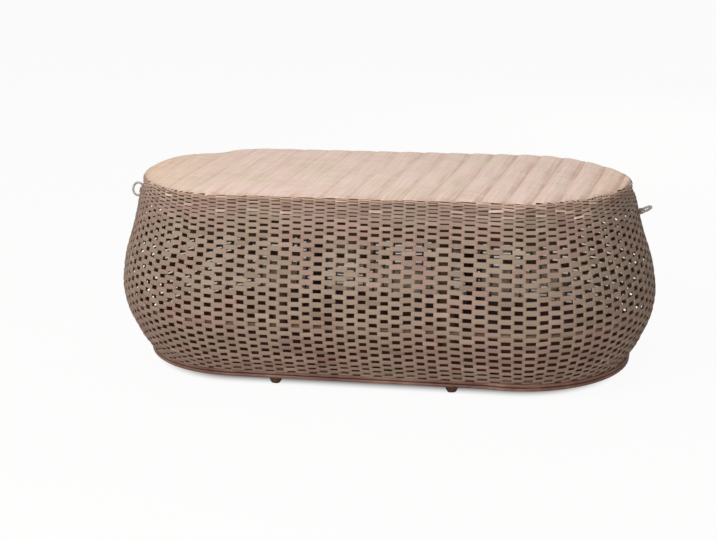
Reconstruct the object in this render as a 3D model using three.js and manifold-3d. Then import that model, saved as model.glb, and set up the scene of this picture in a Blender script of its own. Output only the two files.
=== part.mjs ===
// A low oval table: an openwork basket body with a tightly woven, ribbed top,
// held up by a hidden wooden stand on four splayed legs.
// Millimetres, +Z up. The origin is on the floor under the middle of the body.
// +X runs along the length, and -Y is the front.
import * as THREE from "three";
import { mergeVertices } from "three/addons/utils/BufferGeometryUtils.js";
import Module from "manifold-3d";

// Driving dimensions
const bodyLength = 1200;
const bodyWidth = 590;
const bodyHeight = 428;
const bulgeHeight = 181;
const topWidth = 476;
const rimWidth = 474;
const rimClearance = 18;
const fitGap = 0.3;
const cutOverrun = 2;

// Woven wall
const wallThickness = 6;
const wallColumns = 56;
const wallRows = 7;
const stakeWidth = 9;
const footBandHeight = 6;
const topBandHeight = 24;

// The wall's outline, as pairs of shares chosen by eye. Below the bulge they are
// the share of the way up from the rim and of the sweep out from it; above the
// bulge, the share of the way up to the top and of the drawing in.
const sweepOutShares = [
  [0, 0],
  [0.05, 0],
  [0.1, 0.05],
  [0.2, 0.22],
  [0.3, 0.41],
  [0.46, 0.62],
  [0.63, 0.83],
  [0.8, 0.95],
  [1, 1],
];
const drawInShares = [
  [0.135, 0.06],
  [0.266, 0.15],
  [0.4, 0.31],
  [0.53, 0.49],
  [0.71, 0.69],
  [0.82, 0.79],
  [0.885, 0.86],
  [0.93, 0.95],
  [0.96, 0.99],
  [1, 1],
];

// Woven top
const matThickness = 7;
const ribHeight = 7;
const ribPitch = 55;
const ribGroove = 3;
const ribSteps = 4;
const ribLeanShare = 0.05;
const matEdgeRound = 6;

// Hoops and canes
const midHoopDiameter = 12;
const midHoopBelowBulge = 28;
const footHoopDiameter = 10;
const footHoopAboveRim = 21;
const caneDiameter = 7.5;
const hoopSides = 6;
const lashingThickness = 1.6;
const lashingLength = 26;
const lashingPastStraight = 91;
const lashingLap = 5;

// Wooden stand, which sits a little to the left of the body's middle
const standShift = -12;
const deckThickness = 12;
const deckBoards = 5;
const boardSpace = 3;
const deckBearerWidth = 34;
const deckBearerThickness = 20;
const deckBearers = 5;
const endBearerPastStraight = 100;
const railHeight = 60;
const railThickness = 20;
const railPastStraight = 130;
const railInset = 74;
const crossRailInset = 185;
const crossTenonThickness = 10;
const crossTenonHeight = 36;
const crossTenonLength = 12;
const legDiameter = 32;
const legTopInset = 140;
const legTopBehindRail = 14;
const legFootInset = 111;
const legFootInsideRim = 24;
const toeDiameter = 20;
const toeLength = 22;
const legSides = 12;
const legPegDiameter = 9;
const legPegDepth = 18;
const legPegProud = 1;
const baseBearerWidth = 30;
const baseBearerThickness = 16;
const baseRailWidth = 24;
const baseTenonThickness = 12;
const baseTenonHeight = 10;
const baseTenonDepth = 12;
const baseSlatThickness = 10;
const baseSlats = 7;
const slatSpace = 5;
const slatLegMargin = 8;

// Loops at the two ends
const loopCord = 6;
const loopReach = 21;
const loopSpan = 30;
const loopSteps = 20;
const leftLoopBelowTop = 60;
const rightLoopBelowTop = 72;
const rightLoopLiftShare = 1 / 16;
const keeperLength = 11;
const keeperThickness = 2;
const keeperSides = 12;
const loopPlay = 0.5;
const loopSides = 6;

const wallColour = 0x8f776b;
const topColour = 0xdec6b8;
const caneColour = 0x7d6656;
const frameColour = 0x4c382f;
const slatColour = 0x3a2418;
const cordColour = 0xbeb9b5;

const wasm = await Module();
wasm.setup();

const table = new THREE.Group();

function finish(colour, roughness) {
  return new THREE.MeshStandardMaterial({ color: colour, roughness, metalness: 0 });
}

const wallFinish = finish(wallColour, 0.85);
const topFinish = finish(topColour, 0.8);
const caneFinish = finish(caneColour, 0.6);
const frameFinish = finish(frameColour, 0.7);
const slatFinish = finish(slatColour, 0.8);
const cordFinish = finish(cordColour, 0.9);

function place(name, geometry, material, parent = table) {
  const mesh = new THREE.Mesh(geometry, material);
  mesh.name = name;
  parent.add(mesh);
  return mesh;
}

// A closed mesh as a solid that can be cut and joined, and back again.
function solidOf(geometry) {
  const bare = geometry.clone();
  bare.deleteAttribute("normal");
  bare.deleteAttribute("uv");
  const merged = mergeVertices(bare);
  const vertProperties = new Float32Array(merged.attributes.position.array);
  const triVerts = new Uint32Array(merged.index.array);
  return new wasm.Manifold(new wasm.Mesh({ numProp: 3, vertProperties, triVerts }));
}

function geometryOf(solid) {
  const mesh = solid.getMesh();
  const geometry = new THREE.BufferGeometry();
  geometry.setAttribute("position", new THREE.BufferAttribute(mesh.vertProperties, 3));
  geometry.setIndex(new THREE.BufferAttribute(mesh.triVerts, 1));
  return geometry;
}

function boxBetween(low, high) {
  const size = new THREE.Vector3().subVectors(high, low);
  const middle = new THREE.Vector3().addVectors(low, high).multiplyScalar(1 / 2);
  return new THREE.BoxGeometry(size.x, size.y, size.z).translate(middle.x, middle.y, middle.z);
}

function at(x, y, z) {
  return new THREE.Vector3(x, y, z);
}

// The plan is a straight middle with half-round ends. Every outline is an
// offset of it, so one walk round the widest outline serves all of them.
const bulgeRadius = bodyWidth / 2;
const topRadius = topWidth / 2;
const rimRadius = rimWidth / 2;
const straightHalf = bodyLength / 2 - bulgeRadius;
const quarterArc = (bulgeRadius * Math.PI) / 2;
const perimeter = 4 * straightHalf + 4 * quarterArc;

// The stand's places along and across the table follow that plan.
const endBearerPlace = straightHalf + endBearerPastStraight;
const railReach = straightHalf + railPastStraight;
const railFace = topRadius - railInset;
const crossRailPlace = straightHalf - crossRailInset;
const legTopX = straightHalf - legTopInset;
const legTopY = railFace - legTopBehindRail;
const legFootX = straightHalf - legFootInset;
const legFootY = rimRadius - legFootInsideRim;

function planPlace(distance) {
  const walked = THREE.MathUtils.euclideanModulo(distance, perimeter);
  const onFirstArc = Math.min(walked, quarterArc);
  const onRear = THREE.MathUtils.clamp(walked - quarterArc, 0, 2 * straightHalf);
  const onLeftArc = THREE.MathUtils.clamp(walked - quarterArc - 2 * straightHalf, 0, 2 * quarterArc);
  const onFront = THREE.MathUtils.clamp(walked - 3 * quarterArc - 2 * straightHalf, 0, 2 * straightHalf);
  const onLastArc = Math.max(walked - 3 * quarterArc - 4 * straightHalf, 0);
  const angle = (onFirstArc + onLeftArc + onLastArc) / bulgeRadius;
  return { centre: straightHalf - onRear + onFront, angle };
}

function planPoint(distance, radius, height) {
  const { centre, angle } = planPlace(distance);
  return at(centre + radius * Math.cos(angle), radius * Math.sin(angle), height);
}

// Both edges of every upright stake, in order round the wall.
const columnPitch = perimeter / wallColumns;
const stakeEdges = [];
const stakeCentres = [];
for (let column = 0; column < wallColumns; column += 1) {
  const centre = column * columnPitch;
  stakeCentres.push(centre);
  stakeEdges.push(centre - stakeWidth / 2, centre + stakeWidth / 2);
}

// Those places along the plan where the outline turns; on the straight sides
// only the first and the last are kept.
function whereItTurns(distances) {
  const angles = distances.map((distance) => planPlace(distance).angle);
  return distances.filter((distance, here) => {
    const before = angles[(here + angles.length - 1) % angles.length];
    const after = angles[(here + 1) % angles.length];
    return angles[here] !== before || angles[here] !== after;
  });
}

const hoopStops = whereItTurns(stakeCentres);
const blockStops = whereItTurns(stakeEdges);

// The outer profile of the whole side: from the rim it sweeps out to the bulge,
// and from there it draws in, pinches in below the top and stands upright.
const matBottom = bodyHeight - ribHeight - matThickness;
const wallTop = matBottom - fitGap;

function profileStretch(shares, low, high) {
  return shares.map(([up, across]) => {
    const radius = THREE.MathUtils.lerp(low.x, high.x, across);
    return new THREE.Vector2(radius, THREE.MathUtils.lerp(low.y, high.y, up));
  });
}

const rimPoint = new THREE.Vector2(rimRadius, rimClearance);
const bulgePoint = new THREE.Vector2(bulgeRadius, bulgeHeight);
const topPoint = new THREE.Vector2(topRadius, wallTop);
const profile = new THREE.SplineCurve(
  profileStretch(sweepOutShares, rimPoint, bulgePoint).concat(
    profileStretch(drawInShares, bulgePoint, topPoint)
  )
);
const profileLength = profile.getLength();

// A point a distance up along that profile and a depth in from it.
function profilePoint(along, depth) {
  const share = along / profileLength;
  const tangent = profile.getTangentAt(share);
  const inward = new THREE.Vector2(-tangent.y, tangent.x);
  return profile.getPointAt(share).addScaledVector(inward, depth);
}

// The rim's two canes lie in line under the wall, whose weave starts on them.
const canePitch = caneDiameter + fitGap;
const wallFoot = 2 * canePitch;
const lowerCane = profilePoint(caneDiameter / 2, caneDiameter / 2);
const upperCane = profilePoint(caneDiameter / 2 + canePitch, caneDiameter / 2);

// The courses of the weave, as points on the wall's outer and inner faces:
// a closed row at the foot, half rows of openwork, and a closed band on top.
const openFrom = wallFoot + footBandHeight;
const openTo = profileLength - topBandHeight;
const coursePlaces = [wallFoot];
for (let row = 0; row <= 2 * wallRows; row += 1) {
  coursePlaces.push(THREE.MathUtils.lerp(openFrom, openTo, row / (2 * wallRows)));
}
coursePlaces.push(profileLength);

const outerCourses = coursePlaces.map((along) => profilePoint(along, 0));
const innerCourses = coursePlaces.map((along) => profilePoint(along, wallThickness));

// Where a face of the wall lies at a height, with its outward normal in the
// radius-height plane.
function wallFace(courses, height) {
  const above = courses.findIndex((course) => course.y >= height);
  const upper = courses[above < 1 ? courses.length - 1 : above];
  const lower = courses[above < 1 ? courses.length - 2 : above - 1];
  const share = (height - lower.y) / (upper.y - lower.y);
  const slope = new THREE.Vector2().subVectors(upper, lower).normalize();
  return {
    radius: THREE.MathUtils.lerp(lower.x, upper.x, share),
    normal: new THREE.Vector2(slope.y, -slope.x),
  };
}

// The centre, at a height, of a hoop or cane that lies a distance from a face.
function besideWall(courses, height, distance) {
  const face = wallFace(courses, height);
  return new THREE.Vector2(face.radius + distance / face.normal.x, height);
}

function innerRadius(height) {
  return wallFace(innerCourses, height).radius;
}

// Quads between rows of points, joined into one closed body.
function gridBody(addFaces, points) {
  const positions = points.flatMap((point) => [point.x, point.y, point.z]);
  const index = [];
  addFaces((a, b, c, d) => index.push(a, b, c, a, c, d));
  const geometry = new THREE.BufferGeometry();
  geometry.setAttribute("position", new THREE.Float32BufferAttribute(positions, 3));
  geometry.setIndex(index);
  return geometry;
}

// A closed section carried along part of the plan, or right round it.
// The section lists radius and height pairs, counterclockwise seen with the
// radius to the right and the height up.
function sweep(section, distances, closed) {
  const count = section.length;
  const points = distances.flatMap((distance) =>
    section.map((corner) => planPoint(distance, corner.x, corner.y))
  );
  const swept = gridBody((quad) => {
    const spans = closed ? distances.length : distances.length - 1;
    for (let span = 0; span < spans; span += 1) {
      const here = span * count;
      const there = ((span + 1) % distances.length) * count;
      for (let side = 0; side < count; side += 1) {
        const next = (side + 1) % count;
        quad(here + side, there + side, there + next, here + next);
      }
    }
  }, points);
  if (closed) return swept;
  const index = Array.from(swept.index.array);
  const last = (distances.length - 1) * count;
  THREE.ShapeUtils.triangulateShape(section, []).forEach(([a, b, c]) => {
    index.push(a, b, c);
    index.push(last + a, last + c, last + b);
  });
  swept.setIndex(index);
  return swept;
}

function hoop(centre, diameter) {
  const section = [];
  for (let side = 0; side < hoopSides; side += 1) {
    const angle = (2 * Math.PI * (side + 1 / 2)) / hoopSides;
    const spoke = new THREE.Vector2(Math.cos(angle), Math.sin(angle));
    section.push(centre.clone().addScaledVector(spoke, diameter / 2));
  }
  return sweep(section, hoopStops, true);
}

// A solid block with the oval plan, from a list of radius and height pairs
// that goes up its side.
function ovalBlock(sides) {
  const count = blockStops.length;
  const points = sides.flatMap((corner) =>
    blockStops.map((distance) => planPoint(distance, corner.x, corner.y))
  );
  const low = points.length;
  points.push(at(0, 0, sides[0].y), at(0, 0, sides[sides.length - 1].y));
  const geometry = gridBody((quad) => {
    for (let level = 0; level < sides.length - 1; level += 1) {
      for (let edge = 0; edge < count; edge += 1) {
        const next = (edge + 1) % count;
        const here = level * count;
        const above = (level + 1) * count;
        quad(here + edge, here + next, above + next, above + edge);
      }
    }
  }, points);
  const index = Array.from(geometry.index.array);
  const lastLevel = (sides.length - 1) * count;
  for (let edge = 0; edge < count; edge += 1) {
    const next = (edge + 1) % count;
    index.push(low, next, edge);
    index.push(low + 1, lastLevel + edge, lastLevel + next);
  }
  geometry.setIndex(index);
  return geometry;
}

function upright(radius, low, high) {
  return ovalBlock([new THREE.Vector2(radius, low), new THREE.Vector2(radius, high)]);
}

// Woven wall: upright stakes with flat strips bridging from each to the next,
// staggered by half a step from column to column, so that it stands open
// like brickwork without its bricks.
function wovenWall() {
  const lines = stakeEdges.length;
  const outer = outerCourses.flatMap((course) =>
    stakeEdges.map((distance) => planPoint(distance, course.x, course.y))
  );
  const inner = innerCourses.flatMap((course) =>
    stakeEdges.map((distance) => planPoint(distance, course.x, course.y))
  );
  const cellRows = coursePlaces.length - 1;
  const isOpen = (row, line) => {
    const betweenStakes = line % 2 === 1;
    const inOpenwork = row > 0 && row < cellRows - 1;
    const column = (line - 1) / 2;
    return betweenStakes && inOpenwork && (row + column) % 2 === 0;
  };
  const isSolid = (row, line) =>
    row >= 0 && row < cellRows && !isOpen(row, THREE.MathUtils.euclideanModulo(line, lines));
  const innerStart = outer.length;
  return gridBody((quad) => {
    for (let row = 0; row < cellRows; row += 1) {
      for (let line = 0; line < lines; line += 1) {
        if (!isSolid(row, line)) continue;
        const next = (line + 1) % lines;
        const a = row * lines + line;
        const b = row * lines + next;
        const c = (row + 1) * lines + next;
        const d = (row + 1) * lines + line;
        quad(a, b, c, d);
        quad(innerStart + d, innerStart + c, innerStart + b, innerStart + a);
        if (!isSolid(row - 1, line)) quad(b, a, innerStart + a, innerStart + b);
        if (!isSolid(row + 1, line)) quad(d, c, innerStart + c, innerStart + d);
        if (!isSolid(row, line - 1)) quad(a, d, innerStart + d, innerStart + a);
        if (!isSolid(row, line + 1)) quad(c, b, innerStart + b, innerStart + c);
      }
    }
  }, outer.concat(inner));
}

place("woven_wall", wovenWall(), wallFinish);

// Woven top: one mat whose padded ribs run across the table, leaning a little,
// trimmed to the oval and rounded over its edge.
function wovenTop() {
  const ribs = Math.ceil((2 * (straightHalf + topRadius)) / ribPitch) + 2;
  const start = (-ribs * ribPitch) / 2;
  const outline = new THREE.Shape();
  outline.moveTo(start, -cutOverrun);
  outline.lineTo(-start, -cutOverrun);
  for (let rib = ribs - 1; rib >= 0; rib -= 1) {
    const left = start + rib * ribPitch + ribGroove / 2;
    const width = ribPitch - ribGroove;
    for (let step = 0; step <= ribSteps; step += 1) {
      const across = 1 - step / ribSteps;
      const rise = ribHeight * Math.sin(Math.PI * across);
      outline.lineTo(left + width * across, matThickness + rise);
    }
  }
  outline.closePath();
  const depth = 2 * topWidth;
  const bars = new THREE.ExtrudeGeometry(outline, { depth, bevelEnabled: false, steps: 1 });
  bars.rotateX(Math.PI / 2).translate(0, depth / 2, matBottom);
  const lean = new THREE.Matrix4().makeShear(0, 0, ribLeanShare, 0, 0, 0);
  bars.applyMatrix4(lean);
  const edge = [
    new THREE.Vector2(topRadius, matBottom),
    new THREE.Vector2(topRadius, bodyHeight - 2 * matEdgeRound),
    new THREE.Vector2(topRadius - matEdgeRound / 3, bodyHeight - matEdgeRound),
    new THREE.Vector2(topRadius - 2 * matEdgeRound, bodyHeight + cutOverrun),
  ];
  return geometryOf(solidOf(bars).intersect(solidOf(ovalBlock(edge))));
}

place("woven_top", wovenTop(), topFinish);

// Wooden stand, worked out from the top down.
const deckTop = matBottom - fitGap;
const deckBottom = deckTop - deckThickness;
const bearerTop = deckBottom - fitGap;
const bearerBottom = bearerTop - deckBearerThickness;
const railTop = bearerBottom - fitGap;
const railBottom = railTop - railHeight;

// Hoops lashed inside the wall: at the shoulder, under the bulge and at the foot.
function innerHoop(name, height, diameter) {
  const centre = besideWall(innerCourses, height, -(fitGap + diameter / 2));
  place(name, hoop(centre, diameter), caneFinish);
  return centre;
}

const shoulderHoopDiameter = deckThickness;
const shoulderHeight = bearerTop + fitGap + shoulderHoopDiameter / 2;
const shoulderCentre = innerHoop("shoulder_hoop", shoulderHeight, shoulderHoopDiameter);
innerHoop("mid_hoop", bulgeHeight - midHoopBelowBulge, midHoopDiameter);
const footHoopHeight = rimClearance + footHoopAboveRim;
innerHoop("foot_hoop", footHoopHeight, footHoopDiameter);

// Two canes one above the other at the foot, and the band that goes under them,
// wraps them and laps over the wall where their ends meet, near the right-hand end.
place("rim_cane_lower", hoop(lowerCane, caneDiameter), caneFinish);
place("rim_cane_upper", hoop(upperCane, caneDiameter), caneFinish);

function rimLashing() {
  const within = caneDiameter / 2 + fitGap;
  const around = (distance) => {
    const under = [0, 1, 2, 3].map((step) => {
      const angle = (step * Math.PI) / 6 - Math.PI / 2;
      const spoke = new THREE.Vector2(Math.cos(angle), Math.sin(angle));
      return lowerCane.clone().addScaledVector(spoke, distance);
    });
    const depth = caneDiameter / 2 - distance;
    const beside = profilePoint(caneDiameter / 2 + canePitch, depth);
    return under.concat([beside, profilePoint(wallFoot + lashingLap, depth)]);
  };
  const section = around(within + lashingThickness).concat(around(within).reverse());
  const start = -straightHalf - lashingPastStraight - lashingLength / 2;
  return sweep(section, [start, start + lashingLength / 2, start + lashingLength], false);
}

place("rim_lashing", rimLashing(), caneFinish);

const corners = [
  { end: "left", side: "front", x: -1, y: -1 },
  { end: "right", side: "front", x: 1, y: -1 },
  { end: "left", side: "rear", x: -1, y: 1 },
  { end: "right", side: "rear", x: 1, y: 1 },
];

// Legs: round posts that splay down to a tapered toe flat on the floor.
function legPlace(height) {
  const foot = new THREE.Vector2(legFootX, legFootY);
  return foot.lerp(new THREE.Vector2(legTopX, legTopY), height / railTop);
}

function legPoint(corner, height) {
  const { x, y } = legPlace(height);
  return at(standShift + corner.x * x, corner.y * y, height);
}

function legPost(corner, extra) {
  const foot = legPoint(corner, 0);
  const axis = legPoint(corner, railTop).sub(foot);
  const length = axis.length();
  const radius = legDiameter / 2 + extra;
  const toe = toeDiameter / 2 + extra;
  const outline = [
    new THREE.Vector2(0, -toe),
    new THREE.Vector2(toe, -toe),
    new THREE.Vector2(toe, 0),
    new THREE.Vector2((toe + 2 * radius) / 3, toeLength / 2),
    new THREE.Vector2(radius, toeLength),
    new THREE.Vector2(radius, length + radius),
    new THREE.Vector2(0, length + radius),
  ];
  const post = new THREE.LatheGeometry(outline, legSides);
  const turn = new THREE.Quaternion().setFromUnitVectors(at(0, 1, 0), axis.normalize());
  post.applyQuaternion(turn).translate(foot.x, foot.y, foot.z);
  return solidOf(post);
}

function mirrorBox(corner, low, high) {
  const a = at(standShift + corner.x * low.x, corner.y * low.y, low.z);
  const b = at(standShift + corner.x * high.x, corner.y * high.y, high.z);
  return solidOf(boxBetween(a.clone().min(b), a.clone().max(b)));
}

// Pegs through the long rails into the legs.
const pegHeight = railTop - railHeight / 2;

function legPeg(corner, extra) {
  const inner = railFace - legPegDepth - extra;
  const outer = railFace + railThickness + legPegProud + extra;
  const radius = legPegDiameter / 2 + extra;
  const peg = new THREE.CylinderGeometry(radius, radius, outer - inner, legSides / 2);
  const middle = (corner.y * (inner + outer)) / 2;
  return peg.translate(legPoint(corner, pegHeight).x, middle, pegHeight);
}

// Base frame across each pair of legs, level with the bearers over the foot hoop.
const baseBottom = footHoopHeight + footHoopDiameter / 2 + fitGap;
const baseTop = baseBottom + baseBearerThickness;
const baseMiddle = (baseBottom + baseTop) / 2;
const baseLegX = legPlace(baseMiddle).x;
const baseLegY = legPlace(baseMiddle).y;
const baseShoulder = baseLegY - legDiameter / 2;

function baseTenon(corner, extra) {
  return mirrorBox(
    corner,
    at(
      baseLegX - baseTenonThickness / 2 - extra,
      baseShoulder - cutOverrun,
      baseMiddle - baseTenonHeight / 2 - extra
    ),
    at(
      baseLegX + baseTenonThickness / 2 + extra,
      baseShoulder + baseTenonDepth + extra,
      baseMiddle + baseTenonHeight / 2 + extra
    )
  );
}

function longRail(side, extra) {
  const low = at(-railReach, railFace - extra, railBottom - extra);
  const high = at(railReach, railFace + railThickness, railTop + extra);
  return mirrorBox({ x: 1, y: side }, low, high);
}

const legTrim = solidOf(
  boxBetween(at(-bodyLength, -bodyLength, 0), at(bodyLength, bodyLength, railTop))
);

corners.forEach((corner) => {
  const leg = legPost(corner, 0)
    .intersect(legTrim)
    .subtract(longRail(corner.y, fitGap))
    .subtract(baseTenon(corner, fitGap))
    .subtract(solidOf(legPeg(corner, fitGap)));
  place(`leg_${corner.side}_${corner.end}`, geometryOf(leg), frameFinish);
  place(`leg_peg_${corner.side}_${corner.end}`, legPeg(corner, 0), frameFinish);
});

// Cross rails between the long rails, tenoned into them.
function crossTenon(end, side, extra) {
  return mirrorBox(
    { x: end, y: side },
    at(
      crossRailPlace - crossTenonThickness / 2 - extra,
      railFace - cutOverrun,
      pegHeight - crossTenonHeight / 2 - extra
    ),
    at(
      crossRailPlace + crossTenonThickness / 2 + extra,
      railFace + crossTenonLength + extra,
      pegHeight + crossTenonHeight / 2 + extra
    )
  );
}

[-1, 1].forEach((end) => {
  const half = railThickness / 2;
  const low = at(crossRailPlace - half, -railFace + fitGap, railBottom);
  const high = at(crossRailPlace + half, railFace - fitGap, railTop);
  const rail = mirrorBox({ x: end, y: 1 }, low, high)
    .add(crossTenon(end, -1, 0))
    .add(crossTenon(end, 1, 0));
  place(`cross_rail_${end < 0 ? "left" : "right"}`, geometryOf(rail), frameFinish);
});

// Long rails outside the legs, housed over them and pegged.
[-1, 1].forEach((side) => {
  let rail = longRail(side, 0)
    .subtract(crossTenon(-1, side, fitGap))
    .subtract(crossTenon(1, side, fitGap));
  corners
    .filter((corner) => corner.y === side)
    .forEach((corner) => {
      rail = rail.subtract(solidOf(legPeg(corner, fitGap)));
    });
  place(`long_rail_${side < 0 ? "front" : "rear"}`, geometryOf(rail), frameFinish);
});

// Planks that run the full width or length inside the wall, with their ends
// trimmed to its curve.
function plank(low, high, radius) {
  const room = solidOf(upright(radius, low.z - cutOverrun, high.z + cutOverrun));
  return solidOf(boxBetween(low, high)).intersect(room);
}

// Bearers over the long rails; their ends carry the shoulder hoop.
const bearerRadius = innerRadius(bearerTop) - fitGap;
for (let count = 0; count < deckBearers; count += 1) {
  const middle = THREE.MathUtils.lerp(-endBearerPlace, endBearerPlace, count / (deckBearers - 1));
  const low = at(middle - deckBearerWidth / 2, -topWidth, bearerBottom);
  const high = at(middle + deckBearerWidth / 2, topWidth, bearerTop);
  place(`deck_bearer_${count + 1}`, geometryOf(plank(low, high, bearerRadius)), frameFinish);
}

// Deck boards, which the mat lies on.
const deckRadius = shoulderCentre.x - shoulderHoopDiameter / 2 - fitGap;
const boardPitch = (2 * deckRadius + boardSpace) / deckBoards;
for (let count = 0; count < deckBoards; count += 1) {
  const front = -deckRadius + count * boardPitch;
  const low = at(-bodyLength, front, deckBottom);
  const high = at(bodyLength, front + boardPitch - boardSpace, deckTop);
  place(`deck_board_${count + 1}`, geometryOf(plank(low, high, deckRadius)), frameFinish);
}

// Base: a rail between each pair of legs, bearers over the foot hoop, and dark
// slats that close the bottom. The outer slats are wide enough to go round the
// legs, and the others share the room between them.
[-1, 1].forEach((end) => {
  const reach = baseLegY - legDiameter / 4;
  const low = at(baseLegX - baseRailWidth / 2, -reach, baseBottom);
  const high = at(baseLegX + baseRailWidth / 2, reach, baseTop);
  let rail = mirrorBox({ x: end, y: 1 }, low, high);
  const pair = corners.filter((corner) => corner.x === end);
  pair.forEach((corner) => {
    rail = rail.subtract(legPost(corner, fitGap));
  });
  pair.forEach((corner) => {
    rail = rail.add(baseTenon(corner, 0));
  });
  place(`base_rail_${end < 0 ? "left" : "right"}`, geometryOf(rail), frameFinish);
});

const baseRadius = innerRadius(baseBottom) - fitGap;
["left", "middle", "right"].forEach((name, count) => {
  const middle = (count - 1) * endBearerPlace;
  const low = at(middle - baseBearerWidth / 2, -bodyWidth, baseBottom);
  const high = at(middle + baseBearerWidth / 2, bodyWidth, baseTop);
  place(`base_bearer_${name}`, geometryOf(plank(low, high, baseRadius)), frameFinish);
});

const slatBottom = baseTop + fitGap;
const slatTop = slatBottom + baseSlatThickness;
const slatRadius = innerRadius(slatBottom) - fitGap;
const slatLegY = legPlace(slatTop).y;
const outerSlatEdge = slatLegY - legDiameter / 2 - fitGap - slatLegMargin;
const innerSlatPitch = (2 * outerSlatEdge - slatSpace) / (baseSlats - 2);
for (let count = 0; count < baseSlats; count += 1) {
  const isFirst = count === 0;
  const isLast = count === baseSlats - 1;
  const front = isFirst ? -slatRadius : -outerSlatEdge + slatSpace + (count - 1) * innerSlatPitch;
  const innerBack = isFirst ? -outerSlatEdge : front + innerSlatPitch - slatSpace;
  const back = isLast ? slatRadius : innerBack;
  const low = at(-bodyLength, front, slatBottom);
  const high = at(bodyLength, back, slatTop);
  let slat = plank(low, high, slatRadius);
  corners.forEach((corner) => {
    slat = slat.subtract(legPost(corner, fitGap));
  });
  place(`base_slat_${count + 1}`, geometryOf(slat), slatFinish);
}

// Loops: a ring of twisted cord at each end, whose straight back turns in a
// keeper bound to the wall. In a loop's own frame X points away from the wall
// and Z lies along the back of the ring.
const keeperRadius = loopCord / 2 + loopPlay + keeperThickness;
const loopBack = keeperLength + 2 * loopPlay;

function loopRing() {
  const half = loopBack / 2;
  const bow = (loopSpan / 2 - half / 8) * (4 / 3);
  const outline = new THREE.Path();
  outline.moveTo(0, -half);
  outline.lineTo(0, half);
  outline.bezierCurveTo(0, bow, loopReach, bow, loopReach, 0);
  outline.bezierCurveTo(loopReach, -bow, 0, -bow, 0, -half);
  const places = outline.getSpacedPoints(loopSteps).slice(0, loopSteps);
  const points = places.flatMap((here, step) => {
    const ahead = places[(step + 1) % loopSteps];
    const behind = places[(step + loopSteps - 1) % loopSteps];
    const run = new THREE.Vector2().subVectors(ahead, behind).normalize();
    const ring = [];
    for (let side = 0; side < loopSides; side += 1) {
      const angle = (2 * Math.PI * side) / loopSides;
      const across = (Math.cos(angle) * loopCord) / 2;
      const lift = (Math.sin(angle) * loopCord) / 2;
      ring.push(at(here.x + run.y * across, lift, here.y - run.x * across));
    }
    return ring;
  });
  return gridBody((quad) => {
    for (let step = 0; step < loopSteps; step += 1) {
      const here = step * loopSides;
      const there = ((step + 1) % loopSteps) * loopSides;
      for (let side = 0; side < loopSides; side += 1) {
        const next = (side + 1) % loopSides;
        quad(here + side, here + next, there + next, there + side);
      }
    }
  }, points);
}

// The keeper is a sleeve on a flat pad that beds on the wall.
function loopKeeper() {
  const bore = loopCord / 2 + loopPlay;
  const half = keeperLength / 2;
  const ring = (outer) =>
    new THREE.CylinderGeometry(outer, outer, keeperLength, keeperSides).rotateX(Math.PI / 2);
  const pad = boxBetween(at(-keeperRadius, -keeperRadius, -half), at(0, keeperRadius, half));
  const through = new THREE.CylinderGeometry(bore, bore, 2 * keeperLength, keeperSides);
  return geometryOf(
    solidOf(ring(keeperRadius)).add(solidOf(pad)).subtract(solidOf(through.rotateX(Math.PI / 2)))
  );
}

function endLoop(name, end, belowTop, backUpright, lift) {
  const height = bodyHeight - belowTop;
  const face = wallFace(outerCourses, height);
  const seat = new THREE.Vector2(face.radius, height);
  seat.addScaledVector(face.normal, fitGap + keeperRadius);
  const outward = at(end * face.normal.x, 0, face.normal.y);
  const across = at(0, 1, 0);
  const back = backUpright ? new THREE.Vector3().crossVectors(outward, across) : across;
  const third = new THREE.Vector3().crossVectors(back, outward);
  const mounting = new THREE.Group();
  mounting.applyMatrix4(new THREE.Matrix4().makeBasis(outward, third, back));
  mounting.position.set(end * (straightHalf + seat.x), 0, seat.y);
  place(`loop_keeper_${name}`, loopKeeper(), caneFinish, mounting);
  const ring = place(`loop_${name}`, loopRing(), cordFinish, mounting);
  ring.rotation.z = lift;
  table.add(mounting);
}

endLoop("left", -1, leftLoopBelowTop, true, 0);
endLoop("right", 1, rightLoopBelowTop, false, -rightLoopLiftShare * Math.PI);

export default table;
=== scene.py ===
import math
import random

import bmesh
import bpy
from mathutils import Matrix, Vector
from mathutils.geometry import interpolate_bezier


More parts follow.
